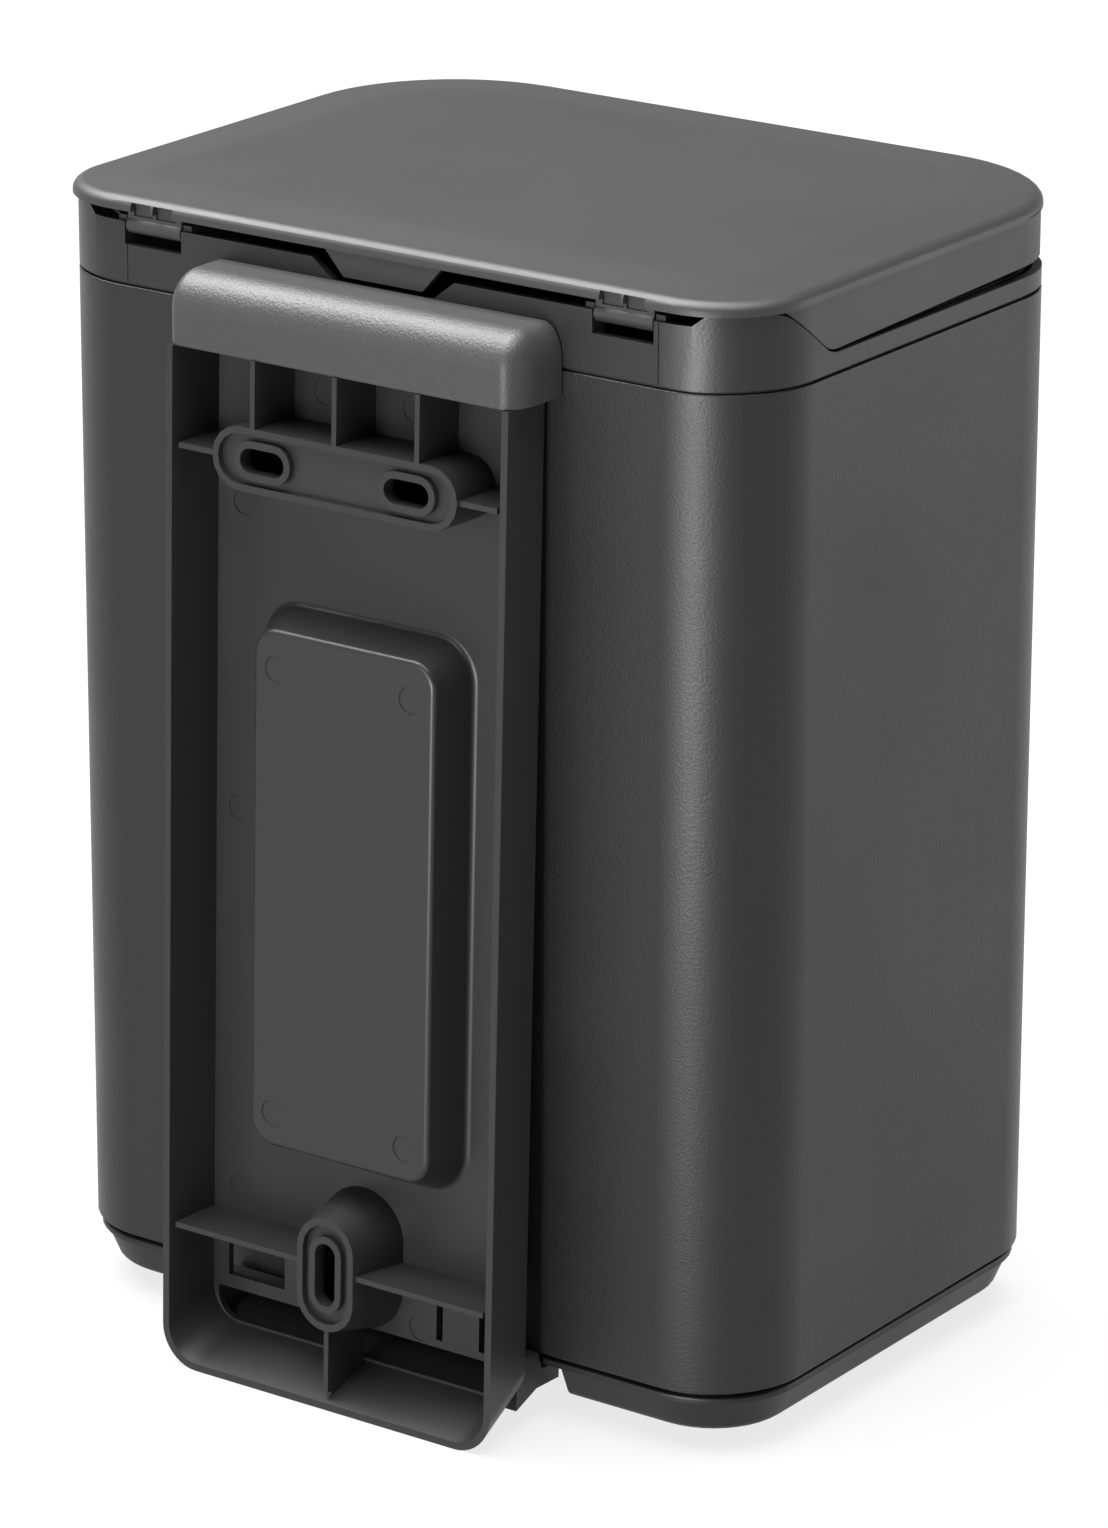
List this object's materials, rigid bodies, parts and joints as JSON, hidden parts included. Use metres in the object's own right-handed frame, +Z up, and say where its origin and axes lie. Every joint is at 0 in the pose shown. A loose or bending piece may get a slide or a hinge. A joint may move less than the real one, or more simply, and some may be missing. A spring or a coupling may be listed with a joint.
{
  "type": "wall-hung waste bin",
  "caption": "Small hinged-lid waste bin, painted steel sleeve with moulded collar and base, hung by a rear hood on a moulded wall bracket, with an inner bucket.",
  "frame": {"origin": "on the face that touches the wall, at the top of the bracket's upper screw boss, on the bin's centre plane", "axes": "+Z up, +Y towards the wall, -Y towards the front of the bin, X across; the bracket's wall face leans 1.7 degrees, because the bracket hangs a little loose on the hook"},
  "size_m": [0.2, 0.1739, 0.2758],
  "materials": {
    "bracket_plastic": "smooth satin moulded polypropylene, charcoal",
    "body_paint": "fine-textured powder coat, charcoal",
    "base_plastic": "satin moulded plastic, dark charcoal",
    "rubber": "matte black rubber",
    "bucket_plastic": "moulded polypropylene, near black",
    "collar_plastic": "satin moulded plastic, charcoal",
    "hood_plastic": "spark-eroded texture on moulded plastic, charcoal",
    "screw_steel": "zinc-plated steel",
    "lid_plastic": "smooth matte moulded plastic, charcoal"
  },
  "bodies": {
    "bracket": {"wall_bracket": "bracket_plastic"},
    "bin": {"body_sleeve": "body_paint", "base": "base_plastic", "foot_pad_1": "rubber", "foot_pad_2": "rubber", "foot_pad_3": "rubber", "foot_pad_4": "rubber", "inner_bucket": "bucket_plastic", "collar": "collar_plastic", "hook_hood": "hood_plastic", "hook_screw_1": "screw_steel", "hook_screw_2": "screw_steel", "hook_screw_3": "screw_steel", "hook_screw_4": "screw_steel", "hinge_pin_left": "screw_steel", "hinge_pin_right": "screw_steel"},
    "lid": {"lid": "lid_plastic", "lid_bumper_left": "rubber", "lid_bumper_right": "rubber"}
  },
  "joints": [
    {"name": "bin_lift", "type": "slide", "parent": "bracket", "child": "bin", "axis": [0, 0, 1], "range_m": [0, 0.03]},
    {"name": "lid_hinge", "type": "hinge", "parent": "bin", "child": "lid", "pos_m": [0, -0.0205, 0.0365], "axis": [-1, 0, 0], "range_deg": [0, 90]}
  ]
}
